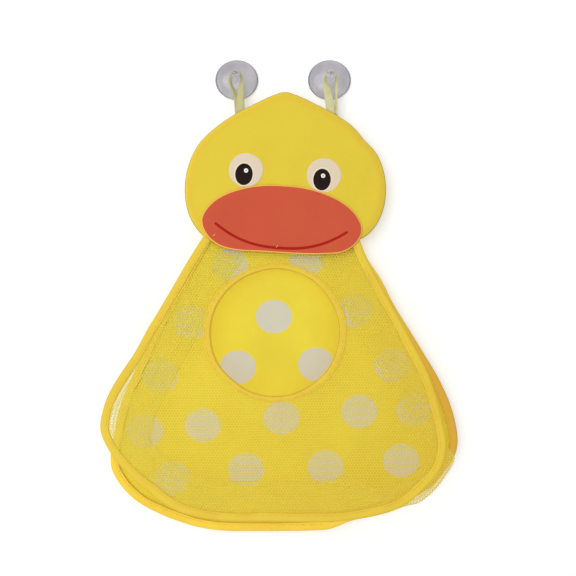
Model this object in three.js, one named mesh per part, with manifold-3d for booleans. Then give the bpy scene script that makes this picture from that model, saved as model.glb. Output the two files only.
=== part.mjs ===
// Bath toy organizer: a duck-shaped mesh bag that hangs by two ribbon loops on clear suction cups.
// Millimetres, +Z up, the front of the duck towards -Y. The wall is the plane y = 0, and the
// origin lies on it midway between the centres of the two cups.
import * as THREE from 'three';
import { mergeVertices } from 'three/addons/utils/BufferGeometryUtils.js';
import Module from 'manifold-3d';

// Suction cups
const cupSpacing = 79.6;
const cupRadius = 18;
const lipWidth = 2.4;
const lipThickness = 0.8;
const domeHeight = 6.2;
const domeWall = 1.4;
const neckRadius = 2.5;
const neckLength = 6.6;
const knobRadius = 3.9;
const knobRim = 1.6;
const knobCrown = 2.2;

// Hanging loops: flat ribbon at the head, bunched where it goes round the neck of its cup
const ribbonWidth = 7;
const ribbonThickness = 0.8;
const bunchRadius = 1;
const loopHalfWidth = 5.7;
const loopDrift = 2.9;
const strandStep = 3.4;
const loopTail = 36;
const flatStartShare = 0.2;
const flatEndShare = 0.7;

// Head pad
const headHalfWidth = 84.3;
const headHeight = 131.8;
const headTop = -14.4;
const headDrift = 1.2;
const headBackY = -8.5;
const headThickness = 6.9;
const panelThickness = 0.5;
const rimRoll = 7;
const rimDrop = 3.4;

// Beak patch and mouth line: the beak's lower edge hangs a little over the net
const beakHalfWidth = 65.9;
const beakHeight = 56.4;
const beakOverhang = 3.1;
const beakDrift = -1.1;
const beakThickness = 1.2;
const beakEdgeRound = 0.5;
const mouthWidth = 110;
const mouthSag = 17;
const mouthDrop = 35.5;
const mouthLineWidth = 1.7;
const mouthCurvePower = 2.4;

// Eyes
const eyeSpacing = 65.4;
const eyeRise = 10.7;
const eyeRadius = 14.4;
const pupilHalfWidth = 6.95;
const pupilHalfHeight = 8.7;
const pupilDrop = 3.3;
const pupilDrift = -1.8;
const glintRadius = 2;
const glintRise = 3.2;
const glintOut = 1.6;
const faceTurn = THREE.MathUtils.degToRad(3.9);
const patchThickness = 0.4;

// Bag: the flat back panel, the leaning front net and the gusset between them
const neckShare = 0.93;
const backHalfWidth = 147;
const backDepth = 248;
const backDrift = 0.8;
const backPanelY = -7.8;
const backTongue = 9;
const backTongueInset = 6;
const frontHalfWidth = 142;
const frontDepth = 231.8;
const frontDrift = -8;
const frontPanelY = -13.1;
const frontLean = THREE.MathUtils.degToRad(5.5);
const netThickness = 0.5;
const clothThickness = 0.4;

// Bindings
const bindingWidth = 7;
const tapeThickness = 0.4;
const wallSetback = 1.3;
const gussetFold = 28;
const foldHeight = 1.6;
const openingRadius = 52.4;
const openingDrift = -7;
const openingDrop = 78.7;

// Hexagonal gaps of the front net
const netPitch = 11.2;
const netGapRadius = 5;
const netMargin = 1.6;

// Clearances and overruns
const gap = 0.3;
const seamGap = 0.6;
const overrun = 3;

// Numbers of steps
const latheSteps = 32;
const curveSteps = 5;
const headPoints = 60;
const beakPoints = 48;
const outlinePoints = 64;
const strandPoints = 8;
const archPoints = 9;
const ribbonSides = 10;
const discPoints = 32;
const gapSides = 6;
const mouthPoints = 20;

// Head outline, from the crown down the right side to the middle of the lower edge,
// as shares of the half width and of the height
const headOutlineShares = [
  [0, 0],
  [0.12, 0.022],
  [0.3, 0.076],
  [0.5, 0.143],
  [0.7, 0.232],
  [0.855, 0.33],
  [0.964, 0.47],
  [1, 0.61],
  [0.973, 0.744],
  [0.905, 0.839],
  [0.8, 0.915],
  [0.687, 0.957],
  [0.46, 0.99],
  [0.2, 1],
];

// The rolled rim of the head, from its side to its flat front, as shares of its width and drop
const rimProfileShares = [
  [0, 1],
  [0.06, 0.62],
  [0.25, 0.25],
  [0.58, 0.05],
  [1, 0],
];

// Beak outline, right half, from the top middle to the bottom middle
const beakOutlineShares = [
  [0, 0],
  [0.22, 0.01],
  [0.45, 0.06],
  [0.7, 0.17],
  [0.88, 0.32],
  [0.99, 0.52],
  [0.99, 0.66],
  [0.91, 0.82],
  [0.77, 0.93],
  [0.52, 0.98],
  [0.2, 1],
];

// Outer edges of the back and the front of the bag, from the left of the neck round the foot to
// the right of the neck, as shares of the half width and of the depth below the neck
const backOutlineShares = [
  [-0.468, 0],
  [-0.543, 0.08],
  [-0.716, 0.278],
  [-0.855, 0.435],
  [-0.94, 0.562],
  [-0.976, 0.654],
  [-1, 0.75],
  [-0.982, 0.804],
  [-0.883, 0.883],
  [-0.716, 0.942],
  [-0.497, 0.987],
  [-0.197, 1],
  [0.144, 0.997],
  [0.381, 0.965],
  [0.641, 0.914],
  [0.843, 0.849],
  [0.975, 0.75],
  [1, 0.695],
  [0.969, 0.585],
  [0.889, 0.476],
  [0.779, 0.366],
  [0.629, 0.223],
  [0.479, 0.065],
  [0.433, 0],
];
const frontOutlineShares = [
  [-0.424, 0],
  [-0.521, 0.1],
  [-0.659, 0.257],
  [-0.8, 0.403],
  [-0.93, 0.531],
  [-0.974, 0.591],
  [-1, 0.672],
  [-0.978, 0.718],
  [-0.885, 0.802],
  [-0.73, 0.886],
  [-0.559, 0.96],
  [-0.35, 0.994],
  [-0.017, 1],
  [0.38, 0.994],
  [0.577, 0.968],
  [0.77, 0.916],
  [0.911, 0.858],
  [0.97, 0.81],
  [0.998, 0.747],
  [0.979, 0.653],
  [0.911, 0.502],
  [0.8, 0.364],
  [0.65, 0.192],
  [0.546, 0.064],
  [0.506, 0],
];

// Places that follow from the sizes above
const headFrontY = headBackY - headThickness;
const headFoot = headTop - headHeight;
const beakTop = headFoot - beakOverhang + beakHeight;
const neckZ = headTop - neckShare * headHeight;

const wasm = await Module();
wasm.setup();

// Materials
function cloth(color, roughness) {
  return new THREE.MeshStandardMaterial({ color, roughness, metalness: 0 });
}
const clearVinyl = new THREE.MeshStandardMaterial({
  color: 0xd9d9dd,
  roughness: 0.15,
  metalness: 0,
  transparent: true,
  opacity: 0.45,
});
const ribbonCloth = cloth(0xefe6a8, 0.6);
const yellowPolyester = cloth(0xe8cf45, 0.7);
const yellowNet = cloth(0xe8cc4c, 0.8);
const yellowTape = cloth(0xf0c640, 0.65);
const paleFoam = cloth(0xf4efe0, 0.95);
const beakCloth = cloth(0xd05a40, 0.7);
const mouthInk = cloth(0x9c1f14, 0.7);
const eyeCloth = cloth(0xf0e8cc, 0.7);
const pupilCloth = cloth(0x15130f, 0.6);

// Turns a geometry's faces outwards if they point inwards
function facingOut(geometry) {
  const flat = geometry.index ? geometry.toNonIndexed() : geometry;
  const position = flat.getAttribute('position');
  const [a, b, c] = [new THREE.Vector3(), new THREE.Vector3(), new THREE.Vector3()];
  let volume = 0;
  for (let i = 0; i < position.count; i += 3) {
    a.fromBufferAttribute(position, i);
    b.fromBufferAttribute(position, i + 1);
    c.fromBufferAttribute(position, i + 2);
    volume += a.dot(b.cross(c));
  }
  if (volume < 0) {
    for (let i = 0; i < position.count; i += 3) {
      b.fromBufferAttribute(position, i + 1);
      c.fromBufferAttribute(position, i + 2);
      position.setXYZ(i + 1, c.x, c.y, c.z);
      position.setXYZ(i + 2, b.x, b.y, b.z);
    }
  }
  flat.deleteAttribute('normal');
  flat.deleteAttribute('uv');
  flat.computeVertexNormals();
  return flat;
}

// A closed solid for joining and cutting
function toSolid(geometry) {
  const bare = facingOut(geometry);
  bare.deleteAttribute('normal');
  const merged = mergeVertices(bare);
  return new wasm.Manifold(
    new wasm.Mesh({
      numProp: 3,
      vertProperties: new Float32Array(merged.getAttribute('position').array),
      triVerts: new Uint32Array(merged.index.array),
    }),
  );
}

function fromSolid(solid) {
  const mesh = solid.getMesh();
  const geometry = new THREE.BufferGeometry();
  geometry.setAttribute('position', new THREE.BufferAttribute(mesh.vertProperties, 3));
  geometry.setIndex(new THREE.BufferAttribute(mesh.triVerts, 1));
  return facingOut(geometry);
}

function cut(geometry, ...tools) {
  let solid = toSolid(geometry);
  for (const tool of tools) solid = solid.subtract(toSolid(tool));
  return fromSolid(solid);
}

// A solid through a row of like rings, with a cap at each end. Point k of a ring faces the
// point that is k before its end, so a cap is a strip of quadrangles between the two.
function loft(rings) {
  const sides = rings[0].length;
  const points = rings.flat();
  const faces = [];
  for (let i = 0; i < rings.length - 1; i++) {
    const [here, next] = [i * sides, (i + 1) * sides];
    for (let k = 0; k < sides; k++) {
      const j = (k + 1) % sides;
      faces.push(here + k, here + j, next + j, here + k, next + j, next + k);
    }
  }
  const end = points.length - sides;
  for (let k = 0; k < sides / 2 - 1; k++) {
    const [a, b, c, d] = [k, k + 1, sides - k - 2, sides - k - 1];
    faces.push(a, c, b, a, d, c);
    faces.push(end + a, end + b, end + c, end + a, end + c, end + d);
  }
  const geometry = new THREE.BufferGeometry().setFromPoints(points);
  geometry.setIndex(faces);
  return facingOut(geometry);
}

// Evenly spaced points on a smooth curve through shares of a width and a depth,
// as x and z, with z falling from top
function smoothOutline(shares, halfWidth, depth, drift, top, count, closed) {
  const points = shares.map(([x, z]) => new THREE.Vector3(drift + x * halfWidth, 0, top - z * depth));
  const curve = new THREE.CatmullRomCurve3(points, closed, 'centripetal');
  const spaced = curve.getSpacedPoints(count);
  if (closed) spaced.pop();
  return spaced;
}

// The right half of an outline and its mirror image, as one closed ring
function mirrored(halfShares) {
  const left = halfShares.filter(([x]) => x > 0).map(([x, z]) => [-x, z]);
  return [...halfShares, ...left.reverse()];
}

// Moves an outline's points inwards, towards the side where its middle lies
function inset(points, distance, closed) {
  const middle = points.reduce((sum, p) => sum.add(p), new THREE.Vector3()).divideScalar(points.length);
  return points.map((p, i) => {
    const last = points.length - 1;
    const before = points[closed ? (i + last) % points.length : Math.max(i - 1, 0)];
    const after = points[closed ? (i + 1) % points.length : Math.min(i + 1, last)];
    const normal = new THREE.Vector3(after.z - before.z, 0, before.x - after.x).normalize();
    if (normal.dot(middle.clone().sub(p)) < 0) normal.negate();
    return p.clone().addScaledVector(normal, distance);
  });
}

// A flat plate with its back at backY, standing towards -Y
function plate(outline, backY, thickness, holes = []) {
  const shape = new THREE.Shape(outline.map((p) => new THREE.Vector2(p.x, p.z)));
  shape.holes.push(...holes);
  const geometry = new THREE.ExtrudeGeometry(shape, {
    depth: thickness,
    bevelEnabled: false,
    curveSegments: latheSteps,
  });
  geometry.rotateX(Math.PI / 2);
  geometry.translate(0, backY, 0);
  return facingOut(geometry);
}

// A pad or shell over a closed outline: each profile step insets the outline and sets its height
function padRings(outline, profile) {
  return profile.map(([distance, y]) => inset(outline, distance, true).map((p) => p.setY(y)));
}

// Outlines in x and z
const headOutline = smoothOutline(
  mirrored(headOutlineShares), headHalfWidth, headHeight, headDrift, headTop, headPoints, true,
);
const beakOutline = smoothOutline(
  mirrored(beakOutlineShares), beakHalfWidth, beakHeight, 0, 0, beakPoints, true,
);
const backOutline = smoothOutline(
  backOutlineShares, backHalfWidth, backDepth, backDrift, neckZ, outlinePoints, false,
);
const frontOutline = smoothOutline(
  frontOutlineShares, frontHalfWidth, frontDepth, frontDrift, 0, outlinePoints, false,
);

// Places the front net's own plane: it turns about the neck line
const frontPlane = new THREE.Matrix4()
  .makeRotationX(-frontLean)
  .setPosition(0, frontPanelY, neckZ);

// The space that the head takes, grown by a seam gap, to trim what is sewn against it
function headSpace(matrix = new THREE.Matrix4()) {
  const grown = inset(headOutline, -seamGap, true);
  const space = plate(grown, overrun, overrun - headFrontY + overrun);
  return space.applyMatrix4(matrix);
}

// A clear cup: a hollow dome with a flat lip, a neck for the ribbon and a round knob
function suctionCup() {
  const domeRoot = new THREE.Vector2(neckRadius + domeWall, domeHeight);
  const outer = new THREE.QuadraticBezierCurve(
    new THREE.Vector2(cupRadius, lipThickness),
    new THREE.Vector2((cupRadius + neckRadius) / 2, domeHeight),
    domeRoot,
  );
  const hollowTop = domeHeight - domeWall;
  const inner = new THREE.QuadraticBezierCurve(
    new THREE.Vector2(0, hollowTop),
    new THREE.Vector2(cupRadius / 2, hollowTop),
    new THREE.Vector2(cupRadius - lipWidth, 0),
  );
  const knobFoot = domeHeight + neckLength;
  const crown = new THREE.QuadraticBezierCurve(
    new THREE.Vector2(knobRadius, knobFoot + knobRim),
    new THREE.Vector2(knobRadius, knobFoot + knobRim + knobCrown),
    new THREE.Vector2(0, knobFoot + knobRim + knobCrown),
  );
  const profile = [
    ...inner.getPoints(curveSteps),
    new THREE.Vector2(cupRadius, 0),
    ...outer.getPoints(curveSteps),
    new THREE.Vector2(neckRadius, domeHeight + domeWall / 2),
    new THREE.Vector2(neckRadius, knobFoot - gap),
    new THREE.Vector2(knobRadius - gap, knobFoot),
    ...crown.getPoints(curveSteps),
  ];
  const geometry = new THREE.LatheGeometry(profile, latheSteps);
  geometry.rotateX(Math.PI);
  return facingOut(geometry);
}

// A ribbon loop in the cup's own place: up one strand, over the neck and down the other
function hangingLoop() {
  const loopY = -(domeHeight + neckLength / 2);
  const archHeight = neckRadius + gap + bunchRadius;
  const strandY = (ribbonThickness + gap) / 2;
  const rings = [];
  const addRing = (x, y, z, tangent, flatness) => {
    const across = new THREE.Vector3(tangent.z, 0, -tangent.x).normalize();
    const halfWidth = THREE.MathUtils.lerp(bunchRadius, ribbonWidth / 2, flatness);
    const halfThickness = THREE.MathUtils.lerp(bunchRadius, ribbonThickness / 2, flatness);
    const ring = [];
    for (let k = 0; k < ribbonSides; k++) {
      const angle = (k / ribbonSides) * 2 * Math.PI;
      const point = new THREE.Vector3(x, y + halfThickness * Math.sin(angle), z);
      ring.push(point.addScaledVector(across, halfWidth * Math.cos(angle)));
    }
    rings.push(ring);
  };
  const strand = (side, step) => {
    const foot = new THREE.Vector3(loopDrift + (side * strandStep) / 2, side * strandY, -loopTail);
    const top = new THREE.Vector3(side * loopHalfWidth, 0, 0);
    const tangent = top.clone().sub(foot);
    if (side > 0) tangent.negate();
    const share = step / strandPoints;
    const at = foot.clone().lerp(top, share);
    const bunched = THREE.MathUtils.smoothstep(share, flatStartShare, flatEndShare);
    addRing(at.x, loopY + at.y, at.z, tangent, 1 - bunched);
  };
  for (let step = 0; step < strandPoints; step++) strand(-1, step);
  for (let k = 0; k <= archPoints; k++) {
    const angle = Math.PI * (1 - k / archPoints);
    const [c, s] = [Math.cos(angle), Math.sin(angle)];
    const tangent = new THREE.Vector3(loopHalfWidth * s, 0, -archHeight * c);
    addRing(loopHalfWidth * c, loopY, archHeight * s, tangent, 0);
  }
  for (let step = strandPoints - 1; step >= 0; step--) strand(1, step);
  return loft(rings);
}

// The head's front cloth: a shallow shell with a rolled rim, open at the back
function headFrontPanel() {
  const seamY = headBackY - panelThickness - gap;
  const outside = rimProfileShares.map(([across, drop]) => [
    across * rimRoll,
    headFrontY + drop * rimDrop,
  ]);
  const inside = rimProfileShares.map(([across, drop]) => [
    panelThickness + across * (rimRoll - panelThickness),
    headFrontY + panelThickness + drop * rimDrop,
  ]);
  const profile = [...inside.reverse(), [panelThickness, seamY], [0, seamY], ...outside];
  return loft(padRings(headOutline, profile));
}

// The foam inside the head, following the cloth's rolled rim
function headFoam() {
  const edge = panelThickness + gap;
  const backY = headBackY - panelThickness - gap;
  const face = rimProfileShares.map(([across, drop]) => [
    edge + across * (rimRoll - edge),
    headFrontY + edge + drop * (rimDrop - gap),
  ]);
  return loft(padRings(headOutline, [[edge, backY], ...face]));
}

// A patch with a softly rounded front edge
function roundedPatch(outline, backY, thickness, round) {
  const frontY = backY - thickness;
  return loft(padRings(outline, [
    [0, backY],
    [0, frontY + round],
    [round / 2, frontY + round / 2],
    [round + round, frontY],
  ]));
}

function ellipse(halfWidth, halfHeight, centre, sides = discPoints) {
  const points = [];
  for (let k = 0; k < sides; k++) {
    const angle = ((k + 1 / 2) / sides) * 2 * Math.PI;
    const x = centre.x + halfWidth * Math.cos(angle);
    points.push(new THREE.Vector3(x, 0, centre.z + halfHeight * Math.sin(angle)));
  }
  return points;
}

// The mouth: a thin curved band that follows the lower edge of the beak
function mouthLine(backY) {
  const path = [];
  for (let k = 0; k <= mouthPoints; k++) {
    const share = (2 * k) / mouthPoints - 1;
    const sag = mouthSag * (1 - Math.abs(share) ** mouthCurvePower);
    path.push(new THREE.Vector3((share * mouthWidth) / 2, 0, -mouthDrop - sag));
  }
  const half = mouthLineWidth / 2;
  return plate([...inset(path, half, false), ...inset(path, -half, false).reverse()], backY, patchThickness);
}

// A folded tape: a U that grips the edges of what lies inside it, swept along an outline.
// The inner faces of its two legs are at innerBack and innerFront.
function foldedTape(outline, innerBack, innerFront) {
  const section = [
    [bindingWidth, innerBack],
    [tapeThickness, innerBack],
    [tapeThickness, innerFront],
    [bindingWidth, innerFront],
    [bindingWidth, innerFront - tapeThickness],
    [0, innerFront - tapeThickness],
    [0, innerBack + tapeThickness],
    [bindingWidth, innerBack + tapeThickness],
  ];
  const tracks = section.map(([distance, y]) =>
    inset(outline, distance, false).map((p) => p.setY(y)),
  );
  return loft(outline.map((_, i) => tracks.map((track) => track[i])));
}

// The room between the legs of a binding: a panel and the gusset's flange, with a gap round each
function stackDepth(panel) {
  return panel + netThickness + 3 * gap;
}

// The cloth back of the bag, with a tongue that goes up behind the head
function backPanel() {
  const edge = inset(backOutline, tapeThickness + gap, false);
  const tongueZ = neckZ + backTongue;
  const right = new THREE.Vector3(edge.at(-1).x - backTongueInset, 0, tongueZ);
  const left = new THREE.Vector3(edge[0].x + backTongueInset, 0, tongueZ);
  return plate([...edge, right, left], backPanelY, clothThickness);
}

function backEdgeBinding() {
  const innerBack = backPanelY + gap;
  const tape = foldedTape(backOutline, innerBack, innerBack - stackDepth(clothThickness));
  return cut(tape, headSpace());
}

function isWithin(point, outline) {
  let within = false;
  outline.forEach((p, i) => {
    const q = outline[(i + 1) % outline.length];
    const crosses = p.z > point.z !== q.z > point.z;
    if (crosses && point.x < p.x + ((point.z - p.z) / (q.z - p.z)) * (q.x - p.x)) within = !within;
  });
  return within;
}

// Hexagonal gaps on a triangular grid, wherever a whole gap fits between the bindings
function netGaps() {
  const clear = netGapRadius + netMargin;
  const reach = inset(frontOutline, bindingWidth + clear, false);
  const headEdge = inset(headOutline, -clear, true).map((p) => p.clone().setZ(p.z - neckZ));
  const rowStep = netPitch * Math.sin(Math.PI / 3);
  const rows = Math.ceil(frontDepth / rowStep);
  const columns = Math.ceil(frontHalfWidth / netPitch);
  const gaps = [];
  for (let row = 0; row <= rows; row++) {
    for (let column = -columns; column <= columns; column++) {
      const x = openingDrift + (column + (row % 2) / 2) * netPitch;
      const centre = new THREE.Vector3(x, 0, -row * rowStep);
      const fromOpening = Math.hypot(x - openingDrift, centre.z + openingDrop);
      if (fromOpening < openingRadius + bindingWidth + clear) continue;
      if (!isWithin(centre, reach) || isWithin(centre, headEdge)) continue;
      const hexagon = ellipse(netGapRadius, netGapRadius, centre, gapSides);
      gaps.push(new THREE.Path(hexagon.map((p) => new THREE.Vector2(p.x, p.z))));
    }
  }
  return gaps;
}

// The net front of the bag in its own plane, with the round opening
function frontNetPanel() {
  const toPlane = frontPlane.clone().invert();
  const edge = inset(frontOutline, tapeThickness + gap, false);
  const opening = new THREE.Path();
  opening.absarc(openingDrift, -openingDrop, openingRadius + tapeThickness + gap, 0, 2 * Math.PI, true);
  return cut(plate(edge, 0, netThickness, [opening, ...netGaps()]), headSpace(toPlane));
}

function frontEdgeBinding() {
  const toPlane = frontPlane.clone().invert();
  const innerFront = -netThickness - gap;
  const tape = foldedTape(frontOutline, innerFront + stackDepth(netThickness), innerFront);
  return cut(tape, headSpace(toPlane));
}

// A folded tape round the opening, which grips the edge of the net
function openingBinding() {
  const innerFront = -netThickness - gap;
  const [inside, outside] = [openingRadius, openingRadius + bindingWidth];
  const web = openingRadius + tapeThickness;
  const section = [
    [outside, gap],
    [web, gap],
    [web, innerFront],
    [outside, innerFront],
    [outside, innerFront - tapeThickness],
    [inside, innerFront - tapeThickness],
    [inside, gap + tapeThickness],
    [outside, gap + tapeThickness],
  ].map(([r, y]) => new THREE.Vector2(r, y));
  section.push(section[0].clone());
  const geometry = new THREE.LatheGeometry(section, 2 * latheSteps);
  geometry.translate(openingDrift, 0, -openingDrop);
  return facingOut(geometry);
}

// A band of even thickness about a line of points; along is the way that the band runs
function bandSection(line, along, thickness) {
  const normals = line.slice(1).map((p, k) => p.clone().sub(line[k]).cross(along).normalize());
  const offsets = line.map((_, k) => {
    const [before, after] = [normals[Math.max(k - 1, 0)], normals[Math.min(k, normals.length - 1)]];
    const middle = before.clone().add(after).normalize();
    return middle.multiplyScalar(thickness / 2 / middle.dot(after));
  });
  const outer = line.map((p, k) => p.clone().add(offsets[k]));
  const inner = line.map((p, k) => p.clone().sub(offsets[k]));
  return [...outer, ...inner.reverse()];
}

// The net gusset, folded inwards between the back and the front: from a flange in the back
// binding in to the fold, and out again to a flange in the front binding
function gusset() {
  const tip = tapeThickness + gap;
  const foot = bindingWidth + wallSetback;
  const backY = backPanelY - clothThickness - gap - netThickness / 2;
  const frontY = gap + netThickness / 2;
  const backTrack = (distance) => inset(backOutline, distance, false).map((p) => p.setY(backY));
  const frontTrack = (distance) =>
    inset(frontOutline, distance, false).map((p) => p.setY(frontY).applyMatrix4(frontPlane));
  const frontFold = frontTrack(foot + gussetFold);
  const fold = backTrack(foot + gussetFold).map((p, i) => p.lerp(frontFold[i], 1 / 2));
  const foldTrack = (rise) => fold.map((p) => p.clone().setY(p.y + rise));
  const tracks = [
    backTrack(tip),
    backTrack(foot),
    foldTrack(foldHeight / 2),
    foldTrack(-foldHeight / 2),
    frontTrack(foot),
    frontTrack(tip),
  ];
  const rings = fold.map((_, i) => {
    const along = fold[Math.min(i + 1, fold.length - 1)].clone().sub(fold[Math.max(i - 1, 0)]);
    return bandSection(tracks.map((track) => track[i]), along.normalize(), netThickness);
  });
  return cut(loft(rings), headSpace());
}

// Assembly
const part = new THREE.Group();

function add(parent, name, geometry, material) {
  const mesh = new THREE.Mesh(geometry, material);
  mesh.name = name;
  parent.add(mesh);
  return mesh;
}

for (const [side, name] of [[-1, 'left'], [1, 'right']]) {
  const x = (side * cupSpacing) / 2;
  add(part, `${name}_suction_cup`, suctionCup(), clearVinyl).position.x = x;
  const toCup = new THREE.Matrix4().makeTranslation(-x, 0, 0);
  const loop = cut(hangingLoop(), headSpace(toCup));
  add(part, `${name}_hanging_loop`, loop, ribbonCloth).position.x = x;
}

// Head
add(part, 'head_back_panel', plate(headOutline, headBackY, panelThickness), yellowPolyester);
add(part, 'head_foam', headFoam(), paleFoam);
add(part, 'head_front_panel', headFrontPanel(), yellowPolyester);

// Face: the beak and the eyes are printed a little askew on the head
const face = new THREE.Group();
face.position.set(headDrift + beakDrift, headFrontY - gap, beakTop);
face.rotation.y = faceTurn;
part.add(face);
add(face, 'beak_patch', roundedPatch(beakOutline, 0, beakThickness, beakEdgeRound), beakCloth);
add(face, 'mouth_line', mouthLine(-beakThickness - gap), mouthInk);
const beakSpace = plate(inset(beakOutline, -gap, true), overrun, 2 * overrun);
for (const [side, name] of [[-1, 'left'], [1, 'right']]) {
  const eye = new THREE.Vector3((side * eyeSpacing) / 2, 0, eyeRise);
  const pupil = new THREE.Vector3(eye.x + pupilDrift, 0, eye.z - pupilDrop);
  const glint = new THREE.Vector3(pupil.x + glintOut, 0, pupil.z + glintRise);
  const layer = patchThickness + gap;
  const white = plate(ellipse(eyeRadius, eyeRadius, eye), 0, patchThickness);
  add(face, `${name}_eye_patch`, cut(white, beakSpace), eyeCloth);
  const black = plate(ellipse(pupilHalfWidth, pupilHalfHeight, pupil), -layer, patchThickness);
  add(face, `${name}_pupil`, cut(black, beakSpace), pupilCloth);
  const spot = plate(ellipse(glintRadius, glintRadius, glint), -2 * layer, patchThickness);
  add(face, `${name}_eye_glint`, spot, eyeCloth);
}

// Bag
add(part, 'back_panel', backPanel(), yellowPolyester);
add(part, 'back_edge_binding', backEdgeBinding(), yellowTape);
add(part, 'gusset_net', gusset(), yellowNet);
const bagFront = new THREE.Group();
bagFront.applyMatrix4(frontPlane);
part.add(bagFront);
add(bagFront, 'front_net_panel', frontNetPanel(), yellowNet);
add(bagFront, 'front_edge_binding', frontEdgeBinding(), yellowTape);
add(bagFront, 'opening_binding', openingBinding(), yellowTape);

export default part;
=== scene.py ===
import math

import bpy
import numpy as np
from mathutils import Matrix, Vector
from mathutils.geometry import delaunay_2d_cdt


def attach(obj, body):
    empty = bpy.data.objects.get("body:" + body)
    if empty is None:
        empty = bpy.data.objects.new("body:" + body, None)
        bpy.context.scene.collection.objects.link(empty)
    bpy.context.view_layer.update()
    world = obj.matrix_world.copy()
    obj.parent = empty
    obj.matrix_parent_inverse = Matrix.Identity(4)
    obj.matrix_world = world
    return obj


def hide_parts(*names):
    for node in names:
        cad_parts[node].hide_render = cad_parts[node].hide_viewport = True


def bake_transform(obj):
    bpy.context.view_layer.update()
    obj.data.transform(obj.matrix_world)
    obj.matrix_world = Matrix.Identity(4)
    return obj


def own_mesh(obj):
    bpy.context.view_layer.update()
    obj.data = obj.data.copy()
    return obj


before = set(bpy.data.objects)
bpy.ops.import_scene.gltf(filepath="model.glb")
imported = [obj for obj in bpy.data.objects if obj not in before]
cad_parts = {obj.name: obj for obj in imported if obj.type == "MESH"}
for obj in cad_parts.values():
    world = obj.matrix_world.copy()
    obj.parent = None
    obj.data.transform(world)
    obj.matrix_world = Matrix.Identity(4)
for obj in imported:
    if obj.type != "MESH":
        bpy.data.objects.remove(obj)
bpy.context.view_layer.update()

# Lengths are in millimetres until a mesh is made
MM = 0.001
TURN = 2 * math.pi

# Cups and ribbon loops
CUP_SPACING = 79.6
DOME_HEIGHT = 6.2
NECK_LENGTH = 6.6
LOOP_Y = -9.5

# Head: its puff, crown and rolled rim
HEAD_HALF_WIDTH = 84.3
HEAD_HEIGHT = 131.8
HEAD_TOP = -14.4
HEAD_DRIFT = 1.2
HEAD_X = 1.6
HEAD_Z = -88.6
HEAD_BACK = -8.5
HEAD_FRONT = -15.4
HEAD_PUFF = 0.9
CROWN = 1.2
CROWN_Z = -84
CROWN_REACH = 68
RIM_ROLL = 7
RIM_DROP = 3.4
BACK_ROLL = 3

# Face, turned a little on the head, with places taken from the middle of the beak's top
FACE_X = 0.9
FACE_TURN = math.radians(3.9)
BEAK_HALF_WIDTH = 67.6
BEAK_HEIGHT = 56.4
BEAK_TOP = -92.9
BEAK_DRIFT = 0.4
MOUTH_HALF_WIDTH = 55
MOUTH_TOP = -35.5
MOUTH_SAG = 17
MOUTH_POWER = 2.4
MOUTH_LINE = 1.1
EYE_X, EYE_Z, EYE_RADIUS = 32.7, 10.7, 14.4
PUPIL_DROP, PUPIL_DRIFT = 3.7, -1.4
GLINT_RISE = 3.2

# Bag: its flat back, its leaning front and the gusset that folds in between them
NECK_Z = HEAD_TOP - 0.93 * HEAD_HEIGHT
BACK_HALF_WIDTH = 147
BACK_DEPTH = 248
BACK_DRIFT = 0.8
BACK_PANEL = -7.8
FRONT_HALF_WIDTH = 142
FRONT_DEPTH = 231.8
FRONT_DRIFT = -8
FRONT_PANEL = -13.1
FRONT_LEAN = math.radians(5.5)
FRONT_BELLY = 3.4
BACK_BELLY = 2.4
OPENING_RADIUS = 52.4
OPENING_X = -7
OPENING_Z = -78.7
TONGUE_RISE, TONGUE_INSET = 9, 6
FOLD_DEPTH = 28
FOLD_HEIGHT = 1.6

# Width of tape, thickness of tape, net and cloth, gap between two of them, and the share of the
# tape's width at which its seam runs
TAPE_WIDTH = 7
TAPE = 0.4
NET = 0.5
CLOTH = 0.4
GAP = 0.3
SEAM = 0.76

# Pitch of the two nets, width of their threads and how far these stand out
NET_PITCH, NET_BAR = 2.4, 0.55
GUSSET_PITCH, GUSSET_BAR = 2.7, 0.64
THREAD_RELIEF = 0.11
ROW_STEP = 0.866

# Outlines as shares of a half width and a depth: right halves of head and beak, and the whole
# edges of back and front, from the left of the neck round the foot
HEAD_SHARES = [
    (0, 0), (0.12, 0.022), (0.3, 0.076), (0.5, 0.143), (0.7, 0.232), (0.855, 0.33), (0.964, 0.47),
    (1, 0.61), (0.973, 0.744), (0.905, 0.839), (0.8, 0.915), (0.687, 0.957), (0.46, 0.99), (0.2, 1),
]
BEAK_SHARES = [
    (0, 0), (0.22, 0.01), (0.45, 0.06), (0.7, 0.17), (0.88, 0.32), (0.99, 0.52), (0.99, 0.66),
    (0.91, 0.82), (0.77, 0.93), (0.52, 0.98), (0.2, 1),
]
BACK_SHARES = [
    (-0.468, 0), (-0.543, 0.08), (-0.724, 0.2755), (-0.85, 0.4365), (-0.94, 0.562),
    (-0.976, 0.654), (-1, 0.75), (-0.982, 0.804), (-0.88, 0.881), (-0.714, 0.94),
    (-0.497, 0.984), (-0.31, 0.9985), (-0.197, 0.9985), (0.144, 0.997), (0.265, 0.991),
    (0.381, 0.965), (0.641, 0.914), (0.843, 0.849), (0.975, 0.75), (1, 0.695), (0.969, 0.585),
    (0.889, 0.476), (0.779, 0.366), (0.631, 0.2225), (0.561, 0.141), (0.478, 0.065), (0.433, 0),
]
FRONT_SHARES = [
    (-0.424, 0), (-0.521, 0.1), (-0.664, 0.256), (-0.732, 0.327), (-0.797, 0.404),
    (-0.93, 0.531), (-0.974, 0.591), (-1, 0.672), (-0.978, 0.718), (-0.885, 0.802),
    (-0.73, 0.886), (-0.559, 0.96), (-0.35, 0.994), (-0.017, 1), (0.38, 0.999), (0.584, 0.98),
    (0.698, 0.96), (0.783, 0.931), (0.912, 0.859), (0.97, 0.81), (0.998, 0.747), (0.979, 0.653),
    (0.911, 0.502), (0.8, 0.364), (0.65, 0.192), (0.546, 0.064), (0.506, 0),
]
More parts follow.
